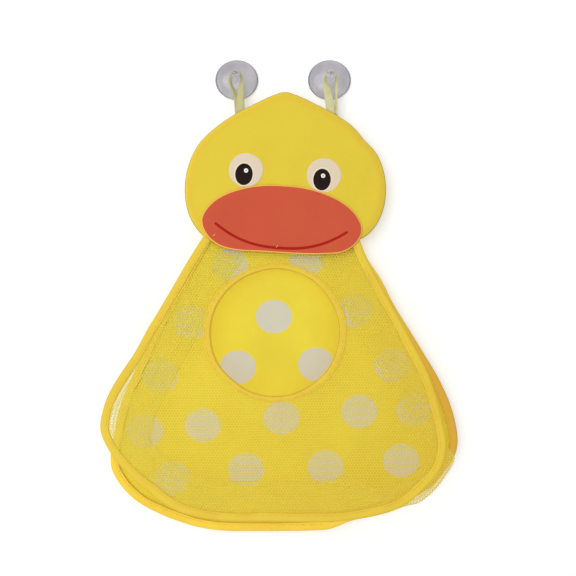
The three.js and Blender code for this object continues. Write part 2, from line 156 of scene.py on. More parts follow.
# Where the head lies inside even halves: bearing and width in degrees, and how far in mm
HEAD_TRIMS = [(27, 8, 2.3), (185, 22, 0.7), (320, 5, 1.3)]
# Where the beak is fuller at its lower left: how far, the place, its width and the upper limit
BEAK_BULGE = (1.7, -39, 17, -30)
# Along the back outline, how far inside it the slack gusset wall stands low on the right
SLACK_ALONG = [480, 486, 493, 508, 524, 540, 556, 572, 588]
SLACK_INSET = [2.4, 1.2, -0.4, 0.8, 2.3, 3.0, 3.8, 7.0, 12.0]

# Centres of the polka dots on the back cloth, as x and z
DOT_RADIUS = 15.3
DOT_SQUASH = 1.08
DOTS = [
    (-44.9, -159.4), (20.6, -153.4), (-77.3, -207.6), (-7.7, -202.9), (61, -198.2),
    (-104.4, -253.4), (-38.3, -245.7), (27.9, -243.2), (92.4, -244), (-117.2, -300),
    (-68, -294.9), (-1.4, -288.4), (64.4, -283.1), (111.5, -282), (-94.3, -339.9),
    (-31.5, -332.7), (36, -330.3), (100.1, -325.2),
]

# A folded tape's section, round from the end of its back leg: share of the width, leg (1 back,
# -1 front), how far that point lies outside the leg's inner face, and how loose the cloth is
TAPE_SECTION = [
    (1, 1, 0, 0), (0.45, 1, 0, 0), (0.06, 1, -0.1, 0), (0.06, -1, -0.1, 0), (0.45, -1, 0, 0),
    (1, -1, 0, 0), (1, -1, 0.2, 0.3), (0.86, -1, 0.36, 0.5), (0.76, -1, 0.28, 1),
    (0.6, -1, 0.48, 0.6), (0.35, -1, 0.52, 0.4), (0.12, -1, 0.38, 0.2), (0, -1, -0.3, 0.1),
    (0, 1, -0.3, 0.1), (0.12, 1, 0.45, 0.2), (0.35, 1, 0.6, 0.4), (0.6, 1, 0.52, 0.6),
    (0.76, 1, 0.2, 1), (0.86, 1, 0.4, 0.5), (1, 1, 0.24, 0.3),
]
RING_SECTION = [
    (1, 1, 0, 0), (0.4, 1, 0, 0), (0.06, 1, -0.1, 0), (0.06, -1, -0.1, 0), (0.4, -1, 0, 0),
    (1, -1, 0, 0), (1, -1, 0.2, 0.3), (0.88, -1, 0.36, 0.6), (0.74, -1, 0.26, 1),
    (0.58, -1, 0.46, 0.7), (0.36, -1, 0.5, 0.5), (0.12, -1, 0.38, 0.3), (0, -1, -0.2, 0.1),
    (0, 1, -0.2, 0.1), (0.12, 1, 0.5, 0.3), (0.36, 1, 0.7, 0.5), (0.58, 1, 0.6, 0.7),
    (0.74, 1, 0.2, 1), (0.88, 1, 0.4, 0.6), (1, 1, 0.24, 0.3),
]

# The ribbon loops, from the head up, over the neck and down: x from the cup, y from the neck's
# middle, z, half width, half thickness and the turn of the ribbon's face
LEFT_LOOP = [
    (3.7, -0.6, -39, 3.5, 0.35, 0), (3.6, -1.1, -24, 3.5, 0.35, 0.05),
    (3.7, -0.9, -16, 3.2, 0.4, 0.15), (4.3, -0.3, -8, 2.5, 0.5, 0.35),
    (4.9, 0, -2, 1.25, 0.8, 0.8), (3, 0, 2.9, 1.1, 0.9, 0.8), (0, 0, 4.1, 1, 0.95, 0.6),
    (-3.1, 0, 2.9, 1.1, 0.9, 0.6), (-5.2, 0, -1.5, 1.35, 0.75, 0.6),
    (-4.2, 0.4, -7, 2, 0.6, 0.9), (-1.2, 1, -13, 2.4, 0.45, 0.8),
    (1.2, 1, -21, 2.9, 0.35, 0.3), (2.6, 0.6, -39, 3.2, 0.35, 0),
]
RIGHT_LOOP = [
    (4.4, 0.6, -41, 3, 0.35, 0.4), (4.9, 0.8, -26, 2.4, 0.35, 1.1),
    (5, 0.6, -17, 2.2, 0.4, 1.15), (5.2, 0.2, -8, 1.9, 0.5, 1.1),
    (5, 0, -1, 1.3, 0.75, 0.9), (3, 0, 3, 1.1, 0.9, 0.7), (0, 0, 4.2, 1, 0.95, 0.5),
    (-3, 0, 2.9, 1.2, 0.85, 0.5), (-5.1, 0, -2, 1.45, 0.65, 0.4),
    (-3, -0.4, -8, 3, 0.45, 0.15), (-1.6, -0.8, -15, 3.5, 0.38, 0.05),
    (-0.2, -1, -23, 3.6, 0.35, 0), (1, -0.6, -41, 3.6, 0.35, 0),
]

# Places and sizes of the studio, in metres
CAMERA_PLACE = (0.00417, -0.6, -0.1787)
CAMERA_LENS = 43.6
WALL_Y = 0.0006
FLOOR_Z = -1.1
ROOM = 3


def linked(name, data):
    made = bpy.data.objects.new(name, data)
    bpy.context.scene.collection.objects.link(made)
    return made


# ---- camera ----
camera_data = bpy.data.cameras.new("camera")
camera = linked("camera", camera_data)
camera.location = CAMERA_PLACE
camera.rotation_euler = (math.pi / 2, 0, 0)
camera_data.sensor_width = 36
camera_data.lens = CAMERA_LENS
bpy.context.scene.camera = camera
bpy.context.scene.view_settings.view_transform = "Standard"


# ---- materials ----
WEAVE = 0.0007
FINE_WEAVE = 0.0005
WEAVE_DEPTH = 0.00006
# Painted light and shade on the bag's cloth and net runs along this way, between these two
# distances in metres
LIGHT_SLOPE_WAY, LIGHT_SLOPE_START, LIGHT_SLOPE_END = (0.67, 0, -1), 0.11, 0.44


def rgb(colour):
    """An sRGB colour of 0 to 255 as a linear one."""
    def linear(value):
        value /= 255
        return value / 12.92 if value <= 0.04045 else ((value + 0.055) / 1.055) ** 2.4
    return (*map(linear, colour), 1)


class Shade:
    """A material under construction."""

    def __init__(self, name, roughness=0.8, sheen=0.04, specular=0.15):
        self.material = bpy.data.materials.new(name)
        self.material.use_nodes = True
        self.tree = self.material.node_tree
        self.bsdf = self.tree.nodes["Principled BSDF"]
        self.set(Roughness=roughness, Sheen_Weight=sheen, Specular_IOR_Level=specular)
        self.place = self.node("ShaderNodeTexCoord").outputs["Object"]

    def put(self, value, socket):
        if isinstance(value, bpy.types.NodeSocket):
            self.tree.links.new(value, socket)
        else:
            socket.default_value = value

    def set(self, **values):
        """Sets the shader's own sockets, named with _ for each space."""
        for name, value in values.items():
            self.put(value, self.bsdf.inputs[name.replace("_", " ")])

    def node(self, kind, inputs=(), **settings):
        """A new node. inputs holds a value or a source for each of its sockets that is set."""
        made = self.tree.nodes.new(kind)
        for name, value in settings.items():
            setattr(made, name, value)
        for name, value in dict(inputs).items():
            self.put(value, made.inputs[name])
        return made

    def math(self, operation, a, b=0.0):
        return self.node("ShaderNodeMath", {0: a, 1: b}, operation=operation).outputs[0]

    def vector(self, operation, source, other=(0, 0, 0), output="Vector"):
        made = self.node("ShaderNodeVectorMath", {0: source, 1: other}, operation=operation)
        return made.outputs[output]

    def across(self):
        """The x of the frame, in metres."""
        return self.node("ShaderNodeSeparateXYZ", {0: self.place}).outputs["X"]

    def noise(self, scale, detail=3.0):
        inputs = {"Scale": scale, "Detail": detail, "Roughness": 0.5, "Vector": self.place}
        return self.node("ShaderNodeTexNoise", inputs).outputs["Fac"]

    def bands(self, direction, period):
        inputs = {"Scale": TURN / 20 / period, "Vector": self.place}
        made = self.node("ShaderNodeTexWave", inputs, bands_direction=direction)
        return made.outputs["Fac"]

    def range(self, value, low, high, to_low=0.0, to_high=1.0):
        limits = {"From Min": low, "From Max": high, "To Min": to_low, "To Max": to_high}
        return self.node("ShaderNodeMapRange", {"Value": value, **limits}).outputs["Result"]

    def mix(self, share, a, b, blend="MIX"):
        inputs = {"Factor": share, "A": a, "B": b}
        made = self.node("ShaderNodeMix", inputs, data_type="RGBA", blend_type=blend)
        return made.outputs["Result"]

    def edge(self):
        """How far a point is from the edge of its piece, in millimetres."""
        return self.node("ShaderNodeAttribute", attribute_name="edge").outputs["Fac"]

    def ramp(self, value, stops):
        made = self.node("ShaderNodeValToRGB", {"Fac": value})
        elements = made.color_ramp.elements
        while len(elements) > 1:
            elements.remove(elements[-1])
        elements[0].position, elements[0].color = stops[0][0], rgb(stops[0][1])
        for position, colour in stops[1:]:
            elements.new(position).color = rgb(colour)
        return made.outputs["Color"]

    def bump(self, height, distance, strength=1.0):
        inputs = {"Strength": strength, "Distance": distance, "Height": height}
        self.set(Normal=self.node("ShaderNodeBump", inputs).outputs["Normal"])


def varied(shade, colour, other, scale=22.0, share=0.5):
    """A colour that drifts a little towards another one over the cloth."""
    drift = shade.range(shade.noise(scale, 4.0), 0.35, 0.75, 0.0, share)
    return shade.mix(drift, rgb(colour), rgb(other))


def painted_light_slope(shade, colour, light, deep):
    """The colour with painted light and shade: lighter towards the upper left of the bag and deeper
    towards the lower right.
    """
    slant = shade.vector("DOT_PRODUCT", shade.place, LIGHT_SLOPE_WAY, "Value")
    factor = shade.mix(shade.range(slant, LIGHT_SLOPE_START, LIGHT_SLOPE_END), (*light, 1), (*deep, 1))
    return shade.mix(1.0, colour, factor, "MULTIPLY")


def woven(shade, period=WEAVE, uneven=0.00025, crease=0.0):
    """Bump of a plain weave, with soft unevenness and wide creases under it."""
    weave = shade.math("MULTIPLY", shade.bands("X", period), shade.bands("Z", period))
    soft = shade.math("MULTIPLY", shade.noise(160.0, 4.0), uneven / WEAVE_DEPTH)
    if crease:
        wide = shade.math("MULTIPLY", shade.noise(26.0, 1.5), crease / WEAVE_DEPTH)
        soft = shade.math("ADD", soft, wide)
    shade.bump(shade.math("ADD", weave, soft), WEAVE_DEPTH)


def edged_cloth(name, base, scale, reach, stops, start, end):
    """Cloth with another colour near its edge: stops run over the reach, and the cloth's own
    colour takes over between start and end. All are in millimetres from the edge."""
    shade = Shade(name)
    inside = varied(shade, *base, scale)
    border = shade.ramp(shade.range(shade.edge(), 0.0, reach), stops)
    shade.set(Base_Color=shade.mix(shade.range(shade.edge(), start, end), border, inside))
    woven(shade)
    return shade.material


def plain_cloth(name, colour, other, period=FINE_WEAVE, sheen=0.04):
    shade = Shade(name, sheen=sheen)
    shade.set(Base_Color=varied(shade, colour, other, 30.0))
    woven(shade, period)
    return shade.material


def dotted_cloth(name, ground, other, dot):
    """Cloth with a plain print of white dots."""
    shade = Shade(name)
    flat = shade.vector("MULTIPLY", shade.place, (1, 0, DOT_SQUASH))
    nearest = None
    for x, z in DOTS:
        away = shade.vector("DISTANCE", flat, (x * MM, 0, z * MM * DOT_SQUASH), "Value")
        nearest = away if nearest is None else shade.math("MINIMUM", nearest, away)
    ragged = shade.math("ADD", nearest, shade.math("MULTIPLY", shade.noise(500.0), 0.0006))
    mask = shade.range(ragged, (DOT_RADIUS - 0.2) * MM, (DOT_RADIUS + 0.8) * MM, 1, 0)
    ground = varied(shade, ground, other, 18.0, 1.0)
    # Painted light and shade: the cloth is lighter towards the upper left and deeper towards the
    # lower right
    ground = painted_light_slope(shade, ground, (1.08, 1.06, 1.05), (1.0, 0.96, 0.94))
    shade.set(Base_Color=shade.mix(mask, ground, rgb(dot)))
    woven(shade, crease=0.0022)
    return shade.material


def net_thread(name, colour, other):
    shade = Shade(name, roughness=0.6, sheen=0.5, specular=0.3)
    shade.set(
        Sheen_Tint=rgb((255, 224, 90)), Sheen_Roughness=0.6, Subsurface_Weight=0.9,
        Subsurface_Radius=(1.0, 0.9, 0.4), Subsurface_Scale=0.0015,
    )
    base_tone = varied(shade, colour, other, 40.0)
    # Painted light and shade: the threads are lighter towards the upper left and deeper towards the
    # lower right
    shade.set(Base_Color=painted_light_slope(shade, base_tone, (1, 1.12, 1.15), (0.97, 0.88, 0.82)))
    shade.bump(shade.noise(1600.0, 2.0), 0.00008)
    return shade.material


def tape_cloth(name, colour, other, deep=None):
    """Satin-faced tape with fine ribs. Where deep is given, painted shade makes it deeper towards
    the right.
    """
    shade = Shade(name, roughness=0.65, specular=0.25)
    base_tone = varied(shade, colour, other, 45.0, 0.7)
    if deep:
        # Painted shade: the colour deepens towards the right of the bag
        base_tone = shade.mix(shade.range(shade.across(), 0.07, 0.125), base_tone, rgb(deep))
    shade.set(Base_Color=base_tone)
    shade.bump(shade.noise(900.0), 0.00012)
    return shade.material


def ribbon_cloth():
    """Thin ribbon. The left loop is a little darker than the right one."""
    shade = Shade("ribbon_cloth", roughness=0.5, sheen=0.2, specular=0.4)
    dark = varied(shade, (209, 203, 144), (185, 180, 119), 120.0, 0.9)
    light = varied(shade, (228, 224, 171), (203, 201, 144), 120.0, 0.9)
    base_tone = shade.mix(shade.range(shade.across(), -0.01, 0.01), dark, light)
    shade.set(Base_Color=base_tone, Alpha=0.86)
    woven(shade, FINE_WEAVE, 0.0001)
    return shade.material


def vinyl():
    """Clear soft vinyl, cloudy in places, whose thick lip looks darker."""
    shade = Shade("clear_vinyl", roughness=0.08, sheen=0.0, specular=0.5)
    middle = (CUP_SPACING / 2 * MM, 0, 0)
    flat = shade.vector("MULTIPLY", shade.vector("ABSOLUTE", shade.place), (1, 0, 1))
    away = shade.vector("DISTANCE", flat, middle, "Value")
    cloudy = shade.range(shade.noise(55.0, 2.0), 0.38, 0.62)
    body = shade.mix(cloudy, rgb((229, 227, 229)), rgb((212, 210, 215)))
    lip = shade.range(away, 16.4 * MM, 17.6 * MM)
    base_tone = shade.mix(lip, body, rgb((182, 179, 185)))
    shade.set(Base_Color=base_tone, IOR=1.45, Transmission_Weight=1.0)
    shade.bump(shade.noise(260.0, 2.0), 0.00006, 0.5)
    return shade.material


# The head's edge colours paint the light and shade of its rolled rim: a dark line at the very edge,
# a lighter strip inside it and a deeper orange band further in
HEAD_CLOTH = edged_cloth("head_cloth", ((226, 202, 62), (222, 194, 58)), 22.0, 12.0, [
    (0.0, (186, 168, 68)), (0.03, (188, 170, 70)), (0.09, (232, 206, 70)),
    (0.3, (230, 196, 62)), (0.5, (228, 196, 60)), (0.8, (225, 202, 62)),
], 5.0, 9.0)
BEAK_CLOTH = edged_cloth("beak_cloth", ((206, 88, 60), (199, 80, 58)), 30.0, 4.0, [
    (0.0, (225, 150, 80)), (0.06, (250, 196, 88)), (0.2, (247, 188, 84)), (0.27, (212, 98, 70)),
], 1.0, 1.3)
MOUTH_CLOTH = plain_cloth("mouth_cloth", (178, 26, 12), (160, 22, 12))
EYE_CLOTH = plain_cloth("eye_cloth", (227, 210, 186), (220, 202, 176), 0.0006)
RING_CLOTH = plain_cloth("ring_cloth", (239, 224, 196), (233, 215, 182))
PUPIL_CLOTH = plain_cloth("pupil_cloth", (30, 17, 15), (42, 26, 22), 0.0006, 0.0)
GLINT_CLOTH = plain_cloth("glint_cloth", (246, 242, 236), (236, 232, 226))
GLINT_GREY = plain_cloth("glint_grey", (120, 116, 116), (96, 92, 92))
DOTTED = dotted_cloth("dotted_cloth", (231, 214, 64), (222, 202, 60), (210, 205, 184))
REVERSE = dotted_cloth("dotted_reverse", (232, 212, 80), (224, 202, 74), (233, 220, 138))
FRONT_THREAD = net_thread("front_thread", (255, 227, 74), (252, 219, 66))
# The gusset's threads are a little deeper than the front net's, the same net: painted shade for the
# gusset folded in between the panels
GUSSET_THREAD = net_thread("gusset_thread", (253, 222, 66), (248, 211, 58))
FRONT_TAPE = tape_cloth("front_tape_cloth", (233, 201, 62), (226, 191, 56))
# The back tape's lighter colours are painted light against the shade it lies in; its third colour
# paints shade on the right
BACK_TAPE = tape_cloth("back_tape_cloth", (249, 216, 68), (238, 198, 60), (222, 176, 58))
OPENING_TAPE = tape_cloth("opening_tape_cloth", (233, 200, 62), (226, 191, 56))
STITCH_THREAD = plain_cloth("stitch_thread", (226, 186, 60), (214, 172, 52), 0.0003)
# A darker thread for the stitches by the opening's inner edge: real stitching, whose dark colour
# paints the thin shadow along that edge
EDGE_THREAD = plain_cloth("edge_thread", (200, 168, 52), (188, 152, 44), 0.0003)
TACK_THREAD = plain_cloth("tack_thread", (236, 212, 150), (226, 198, 132), 0.0003)
RIBBON = ribbon_cloth()
VINYL = vinyl()


# ---- curves in the plane ----
def smooth(share):
    share = np.clip(share, 0, 1)
    return share * share * (3 - 2 * share)


def unit(vector):
    return vector / np.linalg.norm(vector)


def catmull(points, closed, steps=24):
    """A smooth centripetal curve through the points."""
    if closed:
        run = np.vstack([points[-1:], points, points[:2]])
    else:
        run = np.vstack([2 * points[0] - points[1], points, 2 * points[-1] - points[-2]])
    t = np.linspace(0, 1, steps, endpoint=False)[:, None]
    pieces = []
    for i in range(len(run) - 3):
        a, b, c, d = run[i:i + 4]
        ab, bc, cd = (max(np.linalg.norm(q - p), 1e-8) ** 0.5 for p, q in ((a, b), (b, c), (c, d)))
        start = ((b - a) / ab - (c - a) / (ab + bc) + (c - b) / bc) * bc
        end = ((c - b) / bc - (d - b) / (bc + cd) + (d - c) / cd) * bc
        pieces.append(
            b * (2 * t**3 - 3 * t**2 + 1) + start * (t**3 - 2 * t**2 + t)
            + c * (3 * t**2 - 2 * t**3) + end * (t**3 - t**2)
        )
    if not closed:
        pieces.append(points[-1:])
    return np.vstack(pieces)


def lengths(line):
    steps = np.linalg.norm(np.diff(line, axis=0), axis=1)
    return np.concatenate([[0], np.cumsum(steps)])


def points_at(line, along, at):
    """A line's values at some lengths, where along holds the length at each of its points."""
    return np.column_stack([np.interp(at, along, values) for values in line.T])


def resample(line, count, closed):
    if closed:
        line = np.vstack([line, line[:1]])
    along = lengths(line)
    spaced = points_at(line, along, np.linspace(0, along[-1], count + 1))
    return spaced[:-1] if closed else spaced


def outline_of(shares, half_width, depth, drift, top, count, closed):
    points = np.array([(drift + x * half_width, top - z * depth) for x, z in shares], float)
    return resample(catmull(points, closed), count, closed)


def mirrored(shares):
    return shares + [(-x, z) for x, z in reversed(shares) if x > 0]


def inset(line, distance, closed=False):
    """A line moved inwards by one distance, or by one for each of its points."""
    if closed:
        tangent = np.roll(line, -1, 0) - np.roll(line, 1, 0)
    else:
        tangent = np.gradient(line, axis=0)
    normal = np.column_stack([-tangent[:, 1], tangent[:, 0]])
    normal /= np.linalg.norm(normal, axis=1)[:, None]
    side = -1 if (normal * (line.mean(0) - line)).sum() < 0 else 1
    return line + side * normal * np.reshape(distance, (-1, 1))


def relaxed(line, rounds=40):
    """A polyline with its kinks smoothed out, its ends kept."""
    line = line.copy()
    for _ in range(rounds):
        line[1:-1] = (line[:-2] + 2 * line[1:-1] + line[2:]) / 4
    return line


def is_inside(points, outline):
    inside = np.zeros(len(points), bool)
    for (px, pz), (qx, qz) in zip(outline, np.roll(outline, -1, 0)):
        if pz == qz:
            continue
        crossing = (pz > points[:, 1]) != (qz > points[:, 1])
        reach = px + (points[:, 1] - pz) / (qz - pz) * (qx - px)
        inside ^= crossing & (points[:, 0] < reach)
    return inside


def edge_distance(points, outline):
    """How far each point is from a closed line, and how far along the line that is."""
    span = np.roll(outline, -1, 0) - outline
    size = np.linalg.norm(span, axis=1)
    before = np.concatenate([[0], np.cumsum(size)[:-1]])
    best = np.full(len(points), 1e9)
    where = np.zeros(len(points))
    for start, step, long, offset in zip(outline, span, size, before):
        share = np.clip(((points - start) @ step) / max(long * long, 1e-12), 0, 1)
        away = np.linalg.norm(points - start - share[:, None] * step, axis=1)
        closer = away < best
        best[closer] = away[closer]
        where[closer] = offset + share[closer] * long
    return best, where


def ellipse(half_width, half_height, x, z, count):
    angle = np.arange(count) / count * TURN
    return np.column_stack([x + half_width * np.cos(angle), z + half_height * np.sin(angle)])


def ripple(x, z, seed, size, octaves=3):
    """Smooth unevenness between about -1 and 1, with waves of about the given size."""
    random = np.random.default_rng(seed)
    total = np.zeros(np.broadcast(x, z).shape)
    for octave in range(octaves):
        for _ in range(3):
            angle, phase = random.uniform(0, TURN, 2)
            wave = size / 2**octave * random.uniform(0.8, 1.3)
            run = (x * math.cos(angle) + z * math.sin(angle)) / wave * TURN + phase
            total = total + np.sin(run) / 2**octave / 3
    return total


# ---- meshes ----
HEXAGON = np.array([(1, 1), (0, 2), (-1, 1), (-1, -1), (0, -2), (1, -1)])
# Rings of a stitch, as place along it and thickness
STITCH = [(-1, 0.25), (-0.6, 0.9), (0.6, 0.9), (1, 0.25)]
STITCH_SIDES = 6
# A cup's rim is wider and lower than round: from which radius, over how far and by what shares
OVAL_FROM, OVAL_OVER, OVAL_WIDER, OVAL_LOWER = 8, 8, 0.02, 0.055


def make_object(name, points, faces, materials):
    mesh = bpy.data.meshes.new(name)
    mesh.from_pydata((np.asarray(points, float) * MM).tolist(), [], faces)
    mesh.validate()
    mesh.update()
    mesh.shade_smooth()
    for material in materials:
        mesh.materials.append(material)
    return linked(name, mesh)


def belong(piece, body, node, slot):
    """What a piece rides on and stands for. slot, what it is made of, is not used."""
    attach(piece, body)
    if node:
        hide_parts(node)


def set_uv(piece, faces, front, u, v):
    """A flat map: this number of front faces on the left half and the others on the right."""
    corners = np.concatenate(faces)
    half = np.repeat(np.arange(len(faces)) >= front, [len(face) for face in faces])
    left = 0.01 + 0.48 * (u - u.min()) / (u.max() - u.min())
    up = 0.01 + 0.98 * (v - v.min()) / (v.max() - v.min())
    at = np.column_stack([left[corners] + half * 0.5, up[corners]])
    layer = piece.data.uv_layers.new(name="OFBake")
    layer.data.foreach_set("uv", at.astype(np.float32).ravel())


def slab(name, outline, front, back, materials, spacing, rings, to_frame=None):
    """A solid sheet or pad over a closed outline in x and z. front and back give y. A second
    material is for its back and sides."""
    first = resample(outline, len(outline), True)
    kept = [first]
    for distance in rings:
        ring = inset(first, distance, True)
        away, _ = edge_distance(ring, first)
        kept.append(ring[(away > distance * 0.97) & is_inside(ring, first)])
    low, high = first.min(0), first.max(0)
    grid = []
    for i, z in enumerate(np.arange(low[1], high[1], spacing * ROW_STEP)):
        x = np.arange(low[0] + i % 2 * spacing / 2, high[0], spacing)
        grid.append(np.column_stack([x, np.full(len(x), z)]))
    grid = np.vstack(grid)
    away, _ = edge_distance(grid, first)
    kept.append(grid[is_inside(grid, first) & (away > max(rings) + spacing * 0.6)])
    edges = [(i, (i + 1) % len(first)) for i in range(len(first))]
    made = delaunay_2d_cdt([Vector(p) for p in np.vstack(kept).tolist()], edges, [], 1, 1e-5)
    flat = np.array([tuple(v) for v in made[0]])
    triangles = np.array([f[:] for f in made[2]])
    away, along = edge_distance(flat, first)
    x, z = flat.T
    front_y, back_y = front(x, z, away, along), back(x, z, away, along)
    number = len(flat)
    used = dict.fromkeys((t[i], t[(i + 1) % 3]) for t in triangles.tolist() for i in range(3))
    sides = [(j, i, i + number, j + number) for i, j in used if (j, i) not in used]
    faces = triangles.tolist() + (triangles[:, ::-1] + number).tolist() + sides
    if to_frame:
        x, z = to_frame(x, z)
    xyz = np.vstack([np.column_stack([x, front_y, z]), np.column_stack([x, back_y, z])])
    piece = make_object(name, xyz, faces, materials)
    edge = piece.data.attributes.new("edge", "FLOAT", "POINT")
    edge.data.foreach_set("value", np.tile(away, 2).astype(np.float32))
    set_uv(piece, faces, len(triangles), np.tile(x, 2), np.tile(z, 2))
    if len(materials) > 1:
        index = np.arange(len(faces)) >= len(triangles)
        piece.data.polygons.foreach_set("material_index", index.astype(np.int32))
    return piece


def skin(start, count, sides, closed=False):
    """Faces of a tube whose points begin at start: rings x sides, capped unless it is closed."""
    faces = []
    for i in range(count if closed else count - 1):
        here, there = start + i * sides, start + (i + 1) % count * sides
        for k in range(sides):
            j = (k + 1) % sides
            faces.append((here + k, here + j, there + j, there + k))
    if not closed:
        end = start + (count - 1) * sides
        faces.append(tuple(range(start + sides - 1, start - 1, -1)))
        faces.append(tuple(range(end, end + sides)))
    return faces


def loft(name, rings, material, closed=False, flipped=True):
    """A skin through rings of points, rings x sides x 3. flipped turns its faces round."""
    rings = np.asarray(rings, float)
    faces = skin(0, *rings.shape[:2], closed)
    piece = make_object(name, rings.reshape(-1, 3), faces, [material])
    if flipped:
        piece.data.flip_normals()
    return piece


def lathe(name, profile, x, material, steps=72):
    """A body of revolution about an axis along y. profile is radius and depth."""
    radius, depth = np.array(profile, float).T
    oval = smooth((radius - OVAL_FROM) / OVAL_OVER)
    rings = []
    for angle in np.arange(steps) / steps * TURN:
        across = x + radius * (1 + OVAL_WIDER * oval) * math.cos(angle)
        up = radius * (1 - OVAL_LOWER * oval) * math.sin(angle)
        rings.append(np.column_stack([across, -depth, up]))
    return loft(name, rings, material, closed=True)


def net(name, columns, rows, pitch, bar, keep, place, material, origin=0):
    """A knitted net: hexagonal meshes with ridged threads between them, as one closed mesh."""
    step_u, step_v = pitch / 2, pitch / math.sqrt(3) / 2
    c, r = (part.ravel() for part in np.meshgrid(np.arange(*columns), np.arange(*rows)))
    half_u, half_v = 2 * c + r % 2, 3 * r
    u, v = origin + half_u * step_u, half_v * step_v
    chosen = keep(u, v)
    half_u, half_v, u, v = (values[chosen][:, None] for values in (half_u, half_v, u, v))
    du, dv = HEXAGON.T
    # Neighbouring meshes share their corners: each corner has a key of its own
    keys = (half_u + du) * 100003 + half_v + dv
    _, first, node = np.unique(keys.ravel(), return_index=True, return_inverse=True)
    node = node.reshape(-1, 6)
    node_u, node_v = (u + du * step_u).ravel()[first], (v + dv * step_v).ravel()[first]
    shrink = 1 - bar / pitch
    hole_u, hole_v = (u + du * step_u * shrink).ravel(), (v + dv * step_v * shrink).ravel()
    nodes, holes = len(first), len(hole_u)
    all_u = np.concatenate([node_u, node_u, hole_u])
    all_v = np.concatenate([node_v, node_v, hole_v])
    height = np.repeat([THREAD_RELIEF, -THREAD_RELIEF, 0], [nodes, nodes, holes])
    hole = 2 * nodes + np.arange(holes).reshape(-1, 6)
    after, hole_after = np.roll(node, -1, 1), np.roll(hole, -1, 1)
    front = np.stack([node, after, hole_after, hole], axis=2).reshape(-1, 4)
    back = np.stack([node + nodes, hole, hole_after, after + nodes], axis=2).reshape(-1, 4)
    i, j = node.ravel(), after.ravel()
    is_open = ~np.isin(j * nodes + i, i * nodes + j)
    i, j = i[is_open], j[is_open]
    quads = np.vstack([front, back, np.stack([j, i, i + nodes, j + nodes], axis=1)])
    piece = make_object(name, place(all_u, all_v, height), quads.tolist(), [material])
    set_uv(piece, quads, len(front), all_u, all_v)
    return piece


def stitches(name, lines, material, pitch=3.0, length=2.3, radius=0.22):
    """Sewn stitches along lines in space: each one a short rounded thread."""
    points, faces = [], []
    for line in lines:
        along = lengths(line)
        count = int(along[-1] / pitch)
        at = (np.arange(count) + 0.5) * along[-1] / count
        middles, ahead, behind = (points_at(line, along, at + step) for step in (0, 0.4, -0.4))
        for middle, tangent in zip(middles, ahead - behind):
            tangent = unit(tangent)
            across = unit(np.cross(tangent, (0, 1, 0)))
            up = np.cross(across, tangent)
            faces += skin(len(points), len(STITCH), STITCH_SIDES)
            for share, wide in STITCH:
                for k in range(STITCH_SIDES):
                    angle = k / STITCH_SIDES * TURN
                    offset = across * math.cos(angle) + up * math.sin(angle)
                    points.append(middle + tangent * share * length / 2 + offset * radius * wide)
    piece = make_object(name, points, faces, [material])
    piece.data.flip_normals()
    return piece


# ---- outlines of the part ----
HEAD = outline_of(mirrored(HEAD_SHARES), HEAD_HALF_WIDTH, HEAD_HEIGHT, HEAD_X, HEAD_TOP, 420, True)
bearing = np.degrees(np.arctan2(HEAD[:, 1] - HEAD_Z, HEAD[:, 0] - HEAD_X))
trim = sum(
    far * np.exp(-(((bearing - at + 180) % 360 - 180) / width) ** 2)
    for at, width, far in HEAD_TRIMS
)
HEAD = inset(HEAD, trim - HEAD_PUFF, True)
BEAK = outline_of(mirrored(BEAK_SHARES), BEAK_HALF_WIDTH, BEAK_HEIGHT, BEAK_DRIFT, 0, 260, True)
far, at, width, limit = BEAK_BULGE
bulge = far * np.exp(-(((BEAK[:, 0] - at) / width) ** 2)) * (BEAK[:, 1] < limit)
BEAK = inset(BEAK, -bulge, True)
BACK = outline_of(BACK_SHARES, BACK_HALF_WIDTH, BACK_DEPTH, BACK_DRIFT, NECK_Z, 480, False)
FRONT = outline_of(FRONT_SHARES, FRONT_HALF_WIDTH, FRONT_DEPTH, FRONT_DRIFT, 0, 480, False)


# ---- head ----
def rolled(away, width):
    """How far a rolled edge has dropped, from 1 at the edge to 0 inside."""
    share = np.clip(1 - away / width, 0, 1)
    return 1 - np.sqrt(1 - share**2)


def crown(x, z):
    """The head swells a little towards its middle."""
    share = ((x - HEAD_DRIFT) / HEAD_HALF_WIDTH) ** 2 + ((z - CROWN_Z) / CROWN_REACH) ** 2
    return CROWN * np.clip(1 - share, 0, 1)


def head_front(x, z, away, along):
    pucker = 0.22 * np.exp(-away / 5) * np.sin(along / 6.5 * TURN + 2 * ripple(along, 0, 3, 60))
    uneven = 0.28 * ripple(x, z, 5, 46) * np.clip(away / 12, 0, 1)
    return HEAD_FRONT + RIM_DROP * rolled(away, RIM_ROLL) - crown(x, z) + pucker + uneven


def head_back(x, z, away, along):
    uneven = 0.3 * ripple(x, z, 9, 50) * np.clip(away / 12, 0, 1)
    return HEAD_BACK - 0.5 - 1.1 * rolled(away, BACK_ROLL) + uneven


head = slab(
    "head_pad", HEAD, head_front, head_back, [HEAD_CLOTH], 3.2,
    (0.15, 0.45, 0.9, 1.5, 2.3, 3.3, 4.6, 6.2, 8.2),
)
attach(head, "bag")
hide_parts("head_front_panel", "head_foam", "head_back_panel")


# ---- face ----
def face_to_frame(x, z):
    c, s = math.cos(FACE_TURN), math.sin(FACE_TURN)
    return FACE_X + x * c + z * s, BEAK_TOP - x * s + z * c


